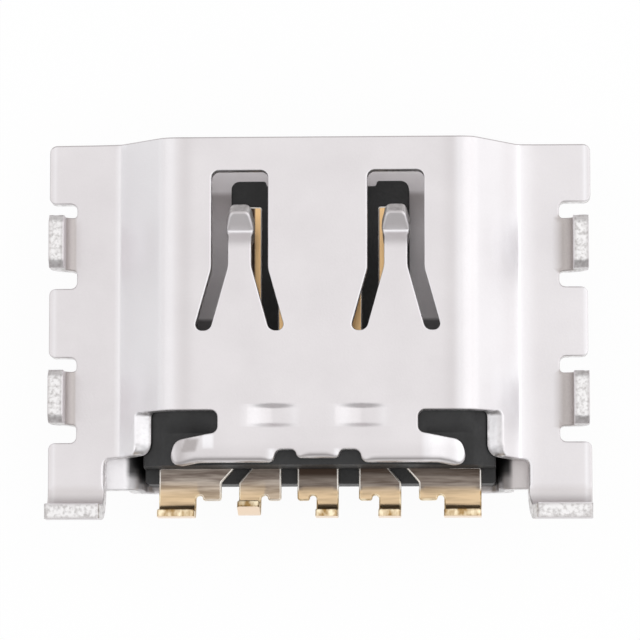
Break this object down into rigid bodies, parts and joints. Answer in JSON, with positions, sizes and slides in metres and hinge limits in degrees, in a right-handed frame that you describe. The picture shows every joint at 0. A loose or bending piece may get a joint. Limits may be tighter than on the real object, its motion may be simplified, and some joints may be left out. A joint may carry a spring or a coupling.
{
  "type": "charging port",
  "caption": "Mid-mount charging port receptacle: folded steel shell with side flanges and board legs, black tongue housing and gold leads with bent-up solder tails.",
  "frame": {"origin": "bottom centre of the bounding box, on the wide face that the port lies on", "axes": "+Y out of the mouth, +Z out of the narrow face and along the legs, +X across the port"},
  "size_m": [0.0104, 0.0074, 0.0025],
  "materials": {
    "shell": "satin nickel-plated steel sheet",
    "housing": "matt black moulding",
    "contacts": "gold-plated copper alloy"
  },
  "bodies": {
    "root": {"upper_shell": "shell", "lower_shell": "shell", "housing": "housing", "contact_1": "contacts", "contact_2": "contacts", "contact_3": "contacts", "contact_4": "contacts", "contact_5": "contacts"}
  },
  "joints": []
}
